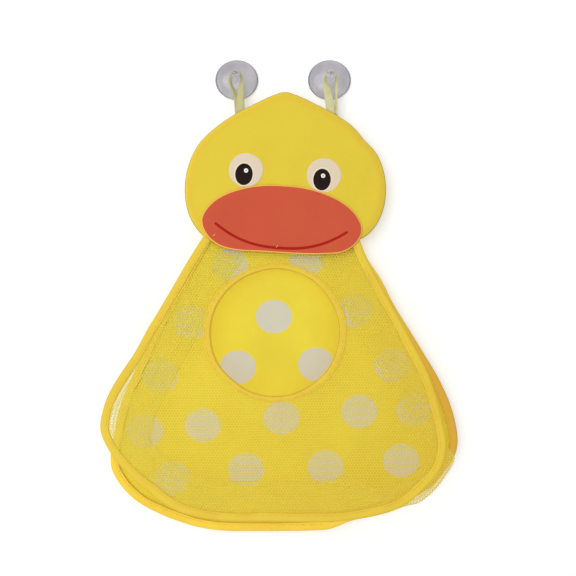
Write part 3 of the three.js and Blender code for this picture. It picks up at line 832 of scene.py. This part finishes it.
def patch(name, outline, depth, thickness, material, node, slot, roll, spacing, rings, swell=0.0):
    """A patch that lies on the head at a depth, with a rolled edge and a swollen middle."""
    def front(x, z, away, along):
        drop = thickness * 0.8 * rolled(away, roll) if roll else 0
        height = depth + thickness - drop
        swollen = swell * (1 - np.exp(-away / 9))
        return HEAD_FRONT - crown(*face_to_frame(x, z)) - height - swollen

    def back(x, z, away, along):
        return HEAD_FRONT - crown(*face_to_frame(x, z)) - depth

    piece = slab(name, outline, front, back, [material], spacing, rings, face_to_frame)
    belong(piece, "bag", node, slot)
    return piece


beak = patch(
    "beak", BEAK, 0.55, 0.9, BEAK_CLOTH, "beak_patch", "beak_cloth", 1.4, 3.0,
    (0.12, 0.35, 0.7, 1.1, 1.35, 1.5, 1.7, 2.4, 4.0), 0.3,
)

for side, name, glint_drift in ((-1, "left", 1.6), (1, "right", 0.7)):
    eye = (side * EYE_X, EYE_Z)
    pupil = (eye[0] + PUPIL_DRIFT, EYE_Z - PUPIL_DROP)
    glint = (pupil[0] + glint_drift, pupil[1] + GLINT_RISE)
    patch(
        f"{name}_eye", ellipse(EYE_RADIUS, EYE_RADIUS, *eye, 72), -0.1, 0.4, EYE_CLOTH,
        f"{name}_eye_patch", "eye_cloth", 0.9, 2.2, (0.15, 0.4, 0.8, 1.4),
    )
    patch(
        f"{name}_pupil_ring", ellipse(8.6, 10.35, *pupil, 64), 0.25, 0.2, RING_CLOTH,
        None, "eye_cloth", 0.5, 2.2, (0.15, 0.4, 0.8),
    )
    patch(
        f"{name}_pupil_patch", ellipse(7.35, 9.1, *pupil, 64), 0.4, 0.25, PUPIL_CLOTH,
        f"{name}_pupil", "pupil_cloth", 0.6, 2.2, (0.15, 0.4, 0.8),
    )
    patch(
        f"{name}_glint", ellipse(1.85, 1.85, *glint, 32), 0.6, 0.2, GLINT_CLOTH,
        f"{name}_eye_glint", "eye_cloth", 0.4, 0.8, (0.15, 0.4),
    )
    patch(
        f"{name}_glint_middle", ellipse(0.5, 0.5, *glint, 16), 0.75, 0.12, GLINT_GREY,
        None, "pupil_cloth", 0.0, 0.5, (0.15,),
    )


def round_end(end, before):
    """Points round one end of the mouth line."""
    way = unit(end - before)
    turns = math.atan2(way[1], way[0]) - np.linspace(-math.pi / 2, math.pi / 2, 9)[1:-1]
    return end + MOUTH_LINE * np.column_stack([np.cos(turns), np.sin(turns)])


share = np.linspace(-1, 1, 90)
sagging = MOUTH_TOP - MOUTH_SAG * (1 - np.abs(share) ** MOUTH_POWER)
mouth = resample(np.column_stack([share * MOUTH_HALF_WIDTH, sagging]), 90, False)
mouth_outline = np.vstack([
    inset(mouth, MOUTH_LINE), round_end(mouth[-1], mouth[-2]),
    inset(mouth, -MOUTH_LINE)[::-1], round_end(mouth[0], mouth[1]),
])
patch(
    "mouth_band", mouth_outline, 1.55, 0.4, MOUTH_CLOTH, "mouth_line", "mouth_ink", 0.5, 1.0,
    (0.2, 0.5),
)


# ---- bag: the back cloth ----
def at_depth(line, y):
    """A line in x and z as points at one depth."""
    return np.column_stack([line[:, 0], np.full(len(line), y), line[:, 1]])


def front_place(x, z, height):
    """A point of the leaning front net: height is along its normal, towards the viewer."""
    share = np.clip(-z / FRONT_DEPTH, 0, 1)
    across = (x - FRONT_DRIFT) / FRONT_HALF_WIDTH
    belly = FRONT_BELLY * np.sin(math.pi * share) * np.clip(1 - across**2, 0, 1)
    belly = belly + 0.9 * ripple(x, z, 21, 95, 2) * np.sin(math.pi * share)
    height = height + belly
    y = FRONT_PANEL - height * math.cos(FRONT_LEAN) + z * math.sin(FRONT_LEAN)
    up = NECK_Z + z * math.cos(FRONT_LEAN) + height * math.sin(FRONT_LEAN)
    return np.column_stack([x, y, up])


def back_sway(x, z, away):
    """The back cloth waves a little, and bellies forward inside the folded gusset."""
    share = np.clip((NECK_Z - z) / BACK_DEPTH, 0, 1)
    waves = 0.6 * ripple(x, z, 31, 70) * np.clip((away - 7) / 15, 0, 1)
    return (waves - BACK_BELLY * smooth((away - 34) / 40)) * np.sin(math.pi * share)


back_edge = inset(BACK, TAPE + GAP)
tongue_left, tongue_right = back_edge[0][0] + TONGUE_INSET, back_edge[-1][0] - TONGUE_INSET
tongue_top = NECK_Z + TONGUE_RISE
back_cloth = slab(
    "back_cloth",
    np.vstack([back_edge, (tongue_right, tongue_top), (tongue_left, tongue_top)]),
    lambda x, z, away, along: BACK_PANEL - CLOTH + back_sway(x, z, away),
    lambda x, z, away, along: BACK_PANEL + back_sway(x, z, away),
    [DOTTED, REVERSE], 3.6, (3.5,),
)


# ---- bag: bindings ----
# Inner faces of the folded tapes: in y at the back, and behind the front net's back at the front
BACK_INNER = BACK_PANEL + GAP
BACK_STACK = CLOTH + NET + 3 * GAP
FRONT_INNER = -NET - GAP


def folded(section, inner_back, inner_front, pucker, line):
    """The tracks of a folded tape. line takes a share of its width and a depth."""
    tracks = []
    for share, leg, out, loose in section:
        inner = inner_back if leg > 0 else inner_front
        tracks.append(line(share, inner + leg * (out + pucker * loose)))
    return np.stack(tracks, axis=1)


def tape(name, outline, inner_back, inner_front, material, seed, to_frame=None):
    """A folded binding tape: two legs and a rounded fold, a little puckered along its seam."""
    along = lengths(outline)
    pucker = 0.16 * np.sin(along / 5.2 * TURN + 3 * ripple(along, 0, seed, 40))
    pucker = pucker + 0.2 * ripple(along, 0, seed + 1, 22)
    wander = 0.25 * ripple(along, 0, seed + 2, 35)

    def line(share, y):
        x, z = inset(outline, share * TAPE_WIDTH + wander * (0.4 + share)).T
        return to_frame(x, z, -y) if to_frame else np.column_stack([x, y, z])

    rings = folded(TAPE_SECTION, inner_back, inner_front, pucker, line)
    return loft(name, rings, material, flipped=False)


def below_head(line, top):
    """The stretch of an outline that shows below the head, with a short overlap into it."""
    points = line + (0, top)
    away, _ = edge_distance(points, HEAD)
    shown = np.nonzero(~(is_inside(points, HEAD) & (away > 8)))[0]
    return line[shown[0]:shown[-1] + 1]


FRONT_LONGER = np.vstack([
    FRONT[0] + unit(FRONT[0] - FRONT[5]) * 9, FRONT, FRONT[-1] + unit(FRONT[-1] - FRONT[-6]) * 9,
])
BACK_SHOWN, FRONT_SHOWN = below_head(BACK, 0), below_head(FRONT_LONGER, NECK_Z)
back_tape = tape("back_tape", BACK_SHOWN, BACK_INNER, BACK_INNER - BACK_STACK, BACK_TAPE, 41)
front_tape = tape("front_tape", FRONT_SHOWN, GAP, FRONT_INNER, FRONT_TAPE, 51, front_place)


def ring_line(angle, share, height):
    """A line round the opening: share goes over the tape's width, outwards. The tape is narrower
    at its top and foot, and strays from a true circle."""
    width = TAPE_WIDTH * (1 - 0.3 * np.sin(angle) ** 2)
    wander = 0.5 * np.sin(2 * angle + 0.6) + 0.35 * np.sin(5 * angle + 2) + 0.2 * np.sin(9 * angle)
    for at, reach, far in ((2.25, 0.32, -1.5), (3.95, 0.32, -1.5), (5.6, 0.26, 1.4)):
        wander = wander + far * np.exp(-((angle - at) / reach) ** 2)
    radius = OPENING_RADIUS + share * width + wander * (0.5 + 0.3 * share)
    x, z = OPENING_X + np.cos(angle) * radius, OPENING_Z + np.sin(angle) * radius
    return front_place(x, z, height)


angle = np.arange(320) / 320 * TURN
pucker = 0.2 * np.sin(angle * 58 + 2 * np.sin(3 * angle)) + 0.14 * np.sin(angle * 23 + 1)
ring = folded(RING_SECTION, GAP, FRONT_INNER, pucker, lambda share, y: ring_line(angle, share, -y))
opening_tape = loft("opening_tape", ring, OPENING_TAPE, closed=True)


# ---- bag: the front net ----
def away_from_head(x, z, margin):
    points = np.column_stack([x, z])
    away, _ = edge_distance(points, HEAD[::3])
    return ~is_inside(points, HEAD) & (away > margin) | (z < HEAD_TOP - HEAD_HEIGHT - 30)


def keep_front(u, v):
    from_opening = np.hypot(u - OPENING_X, v - OPENING_Z)
    return (
        is_inside(np.column_stack([u, v]), inset(FRONT, 2.6))
        & (from_opening > OPENING_RADIUS + 3.4) & away_from_head(u, v + NECK_Z, 1.3)
    )


def place_front(u, v, height):
    """The net hangs a little uneven: its meshes lean and stretch."""
    x = u + 0.5 * ripple(u, v, 61, 60, 2)
    z = v + 0.5 * ripple(u, v, 62, 60, 2)
    return front_place(x, z, height + NET / 2)


front_net = net(
    "front_net", (-70, 70), (-125, 3), NET_PITCH, NET_BAR, keep_front, place_front, FRONT_THREAD,
    FRONT_DRIFT,
)


# ---- bag: the gusset, a net strip folded inwards between the two bindings ----
STRIP_EDGE = 3.0


def gusset_tracks():
    """Lines along the strip: from the back binding in to the fold and out to the front one."""
    along = lengths(BACK)
    foot = TAPE_WIDTH + 1.3
    half = foot + FOLD_DEPTH * 0.5
    deep = foot + FOLD_DEPTH

    def line_inside(outline, distance):
        return relaxed(inset(outline, distance), 40 if distance > 12 else 0)

    def back_track(distance):
        return at_depth(line_inside(BACK, distance), BACK_PANEL - CLOTH - GAP - NET / 2)

    def front_track(distance):
        return front_place(*line_inside(FRONT, distance).T, -1.3)

    depth = (deep + 1.6 * ripple(along, 0, 71, 70)).mean()
    fold = (front_track(depth) + back_track(depth)) / 2
    lift = np.array([0, FOLD_HEIGHT / 2, 0])
    sag = np.outer(0.8 * ripple(lengths(FRONT), 0, 73, 50), (0, 1, 0))
    deeper = fold + (fold - (back_track(half) + front_track(half)) / 2) * 0.06
    past_fold = (fold - lift) * 0.94 + 0.06 * front_track(foot)
    half_out = (front_track(foot) + fold - lift) / 2 + sag * 0.5

    # Low on the right the slack wall stands out between the tapes before it folds in
    slack = smooth((along - 448) / 30) * (1 - smooth((along - 540) / 40))
    brim = np.interp(along, SLACK_ALONG, SLACK_INSET)

    def standing(folded, distance, y):
        return folded + (at_depth(inset(BACK, distance), y) - folded) * slack[:, None]

    return [
        (STRIP_EDGE, back_track(STRIP_EDGE)),
        (foot, back_track(foot)),
        (half, standing((back_track(foot) + fold + lift) / 2 + sag, 8.3, -21.5)),
        (deep - 1.5, standing((fold + lift) * 0.94 + 0.06 * back_track(foot), brim, -25.0)),
        (deep + 0.8, standing(deeper, brim + 2.6, -25.9)),
        (deep + 3.1, standing(past_fold, brim + 5.2, -26.5)),
        (deep + 8.0, standing(past_fold * 0.61 + half_out * 0.39, brim + 12.5, -27.4)),
        (foot + FOLD_DEPTH * 1.5 + FOLD_HEIGHT, standing(half_out, 25.0, -28.4)),
        (foot + FOLD_DEPTH * 2 + FOLD_HEIGHT, front_track(foot)),
        (2 * foot + FOLD_DEPTH * 2 + FOLD_HEIGHT - STRIP_EDGE, front_track(STRIP_EDGE)),
    ]


TRACKS = gusset_tracks()
STATIONS = np.array([at for at, _ in TRACKS])
LINES = np.stack([line for _, line in TRACKS])
STRIP_WIDTH = TRACKS[-1][0]
STRIP_LENGTH = float(lengths(BACK)[-1])


def strip_point(u, v):
    """A place on the strip: u along it, v across it."""
    share = np.clip(u / STRIP_LENGTH, 0, 1) * (LINES.shape[1] - 1)
    low = np.clip(share.astype(int), 0, LINES.shape[1] - 2)
    part = (share - low)[:, None]
    spot = np.clip(np.searchsorted(STATIONS, v, side="right") - 1, 0, len(STATIONS) - 2)
    wide = STATIONS[spot + 1] - STATIONS[spot]
    across = np.clip((v - STATIONS[spot]) / wide, 0, 1)[:, None]
    near, far = (LINES[i, low] * (1 - part) + LINES[i, low + 1] * part for i in (spot, spot + 1))
    return near * (1 - across) + far * across


def place_gusset(u, v, height):
    ahead, behind = (strip_point(np.clip(u + step, 0, STRIP_LENGTH), v) for step in (1, -1))
    over, under = (
        strip_point(u, np.clip(v + step, STRIP_EDGE, STRIP_WIDTH)) for step in (0.8, -0.8)
    )
    normal = np.cross(ahead - behind, over - under)
    normal /= np.maximum(np.linalg.norm(normal, axis=1), 1e-9)[:, None]
    return strip_point(u, v) + normal * height[:, None]


def keep_gusset(u, v):
    inside = (u > 0) & (u < STRIP_LENGTH) & (v > 3.2) & (v < STRIP_WIDTH - 0.2)
    at = strip_point(u, v)
    return inside & away_from_head(at[:, 0], at[:, 2], 0.2)


gusset_net = net(
    "gusset_mesh", (0, int(STRIP_LENGTH / GUSSET_PITCH) + 1),
    (0, int(STRIP_WIDTH / GUSSET_PITCH / ROW_STEP) + 1),
    GUSSET_PITCH, GUSSET_BAR, keep_gusset, place_gusset, GUSSET_THREAD,
)

# ---- sewing ----
# Tacks that hold the beak's lower edge: x, z, turn and length
TACKS = [(-57.6, -134.4, 0.6, 3.0), (-5.0, -144.0, 1.1, 3.4), (53.6, -141.4, 2.5, 3.0)]

front_seam = front_place(*inset(FRONT_SHOWN, TAPE_WIDTH * SEAM).T, NET + GAP + 0.28)
angle = np.linspace(0, TURN, 200)
opening_seam = ring_line(angle, 0.74, NET + GAP + 0.28)
opening_edge = ring_line(angle, 0.14, NET + GAP + TAPE + 0.02)
back_line = inset(BACK_SHOWN, TAPE_WIDTH * SEAM)
back_seam = at_depth(back_line, BACK_INNER - BACK_STACK - 0.25)
behind_seam = at_depth(back_line, BACK_INNER + 0.28)
front_stitches = stitches("front_stitches", [front_seam, opening_seam], STITCH_THREAD)
back_stitches = stitches("back_stitches", [back_seam, behind_seam], STITCH_THREAD)

tack_lines = []
for x, z, turn, long in TACKS:
    step = np.array([math.cos(turn), 0, math.sin(turn)]) * long / 2
    middle = np.array([x, HEAD_FRONT - crown(x, z) - 1.75, z])
    tack_lines.append(np.array([middle - step, middle, middle + step]))
tacks = stitches("beak_tacks", tack_lines, TACK_THREAD, 3.0, 2.9, 0.3)
# Stitches near the opening tape's inner edge; their darker thread paints the thin shadow along that
# edge
edge_stitches = stitches("opening_edge_stitches", [opening_edge], EDGE_THREAD, 2.6, 2.5, 0.24)

for piece, body, node, slot in (
    (back_cloth, "bag", "back_panel", "yellow_cloth"),
    (back_tape, "bag", "back_edge_binding", "yellow_tape"),
    (gusset_net, "bag", "gusset_net", "yellow_net"),
    (front_net, "bag_front", "front_net_panel", "yellow_net"),
    (front_tape, "bag_front", "front_edge_binding", "yellow_tape"),
    (opening_tape, "bag_front", "opening_binding", "yellow_tape"),
    (front_stitches, "bag_front", None, "yellow_tape"),
    (edge_stitches, "bag_front", None, "yellow_tape"),
    (back_stitches, "bag", None, "yellow_tape"),
    (tacks, "bag", None, "yellow_tape"),
):
    belong(piece, body, node, slot)

# The fine threads and the thin front tapes let most of the light through, so they cast no shadows
for thin in (front_net, gusset_net, opening_tape, front_tape):
    thin.visible_shadow = False
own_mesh(gusset_net)


# ---- suction cups ----
def quadratic(a, b, c, steps=12):
    t = np.linspace(0, 1, steps)[:, None]
    a, b, c = np.array([a, b, c])
    return (a * (1 - t) ** 2 + 2 * b * t * (1 - t) + c * t * t).tolist()


# A dome with a thin rolled lip, a neck and a round knob with a shallow dimple
FOOT = DOME_HEIGHT + NECK_LENGTH
CUP_PROFILE = (
    quadratic((0.02, 4.8), (9, 4.8), (15.6, 0.05))
    + [(16.6, 0.05), (17.5, 0.1), (18.0, 0.35), (17.9, 0.7), (17.4, 0.95)]
    + quadratic((16.9, 1.15), (10.2, 6.1), (4.4, 6.3))
    + [(3.3, 6.7), (2.6, 7.5), (2.5, 8.6), (2.5, FOOT - 1.0), (2.7, FOOT - 0.4), (3.3, FOOT - 0.05)]
    + quadratic((3.75, FOOT + 0.3), (4.2, FOOT + 1.2), (3.85, FOOT + 2.2), 6)
    + quadratic((3.6, FOOT + 2.9), (2.9, FOOT + 3.75), (1.6, FOOT + 3.8), 6)
    + [(1.0, FOOT + 3.6), (0.5, FOOT + 3.45), (0.02, FOOT + 3.4)]
)

SIDES = ((-CUP_SPACING / 2, "left", LEFT_LOOP), (CUP_SPACING / 2, "right", RIGHT_LOOP))
for x, name, _ in SIDES:
    cup = lathe(f"{name}_cup", CUP_PROFILE, x, VINYL)
    belong(cup, "wall_cups", f"{name}_suction_cup", "clear_vinyl")


# ---- ribbons ----
def ribbon(name, x, path, sides=16):
    """A soft ribbon loop round the neck of the cup at x."""
    places = np.array(path, float)
    places[:, 1] += LOOP_Y
    rows = catmull(places, False, 10)
    along = lengths(rows[:, :3])
    rows = points_at(rows, along, np.linspace(0, along[-1], 120))
    angle = np.arange(sides) / sides * TURN
    across, up = np.cos(angle), np.sin(angle)
    up = np.copysign(np.abs(up) ** 0.6, up)
    rings = []
    for row, tangent in zip(rows, np.gradient(rows[:, :3], axis=0)):
        half_width, half_thickness, turn = row[3:]
        tangent = unit(tangent)
        side = unit(np.cross(tangent, (0, 1, 0)))
        lift = np.cross(side, tangent)
        wide = side * math.cos(turn) + lift * math.sin(turn)
        thick = -side * math.sin(turn) + lift * math.cos(turn)
        curl = 0.35 * across**2 * half_width / 3.5
        bulk = np.outer(up * half_thickness + curl, thick)
        rings.append(row[:3] + (x, 0, 0) + np.outer(across * half_width, wide) + bulk)
    return loft(name, rings, RIBBON)


for x, name, path in SIDES:
    loop = ribbon(f"{name}_ribbon", x, path)
    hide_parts(f"{name}_hanging_loop")
    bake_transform(loop)


# ---- studio ----
SQUARE = [(-1, -1), (1, -1), (1, 1), (-1, 1)]


def plane(name, corners, material):
    mesh = bpy.data.meshes.new(name)
    mesh.from_pydata(corners, [], [(0, 1, 2, 3)])
    mesh.materials.append(material)
    made = linked(name, mesh)
    return made


def mix_shaders(tree, share, first, second, output):
    mixer = tree.nodes.new("ShaderNodeMixShader")
    for i, source in enumerate((share, first, second)):
        tree.links.new(source, mixer.inputs[i])
    tree.links.new(mixer.outputs[0], tree.nodes[output].inputs["Surface"])


def wall_material():
    """White wall that shows only from the front."""
    shade = Shade("wall_paint", roughness=0.9, sheen=0.0, specular=0.0)
    shade.set(
        Base_Color=(0.78, 0.78, 0.785, 1), Emission_Color=(1, 1, 1, 1), Emission_Strength=0.28,
    )
    back = shade.node("ShaderNodeNewGeometry").outputs["Backfacing"]
    clear = shade.node("ShaderNodeBsdfTransparent").outputs[0]
    mix_shaders(shade.tree, back, shade.bsdf.outputs[0], clear, "Material Output")
    return shade.material


wall = plane("wall", [(x * ROOM, WALL_Y, z * ROOM) for x, z in SQUARE], wall_material())
wall.visible_shadow = wall.visible_diffuse = False
floor_paint = Shade("floor_paint", roughness=0.9, sheen=0.0, specular=0.3)
floor_paint.set(Base_Color=(0.82, 0.82, 0.82, 1))
plane("floor", [(x * ROOM, y * ROOM, FLOOR_Z) for x, y in SQUARE], floor_paint.material)

# The camera sees a brighter world than the one that lights the part
world = bpy.data.worlds.new("studio")
bpy.context.scene.world = world
world.use_nodes = True
tree = world.node_tree
background = tree.nodes["Background"]
background.inputs["Color"].default_value = (1, 1, 1, 1)
background.inputs["Strength"].default_value = 0.55
bright = tree.nodes.new("ShaderNodeBackground")
bright.inputs["Strength"].default_value = 1.0
seen = tree.nodes.new("ShaderNodeLightPath").outputs["Is Camera Ray"]
mix_shaders(tree, seen, background.outputs[0], bright.outputs[0], "World Output")


def lamp(name, place, target, size, power):
    data = bpy.data.lights.new(name, "AREA")
    data.shape, data.size, data.energy = "DISK", size, power
    made = linked(name, data)
    made.location = place
    made.rotation_euler = (Vector(target) - Vector(place)).to_track_quat("-Z", "Y").to_euler()


lamp("key", (-0.75, -1.85, 0.22), (0, 0, -0.2), 2.3, 25.2)
lamp("back_fill", (0.7, 1.7, 0.2), (0, 0, -0.25), 1.6, 8)
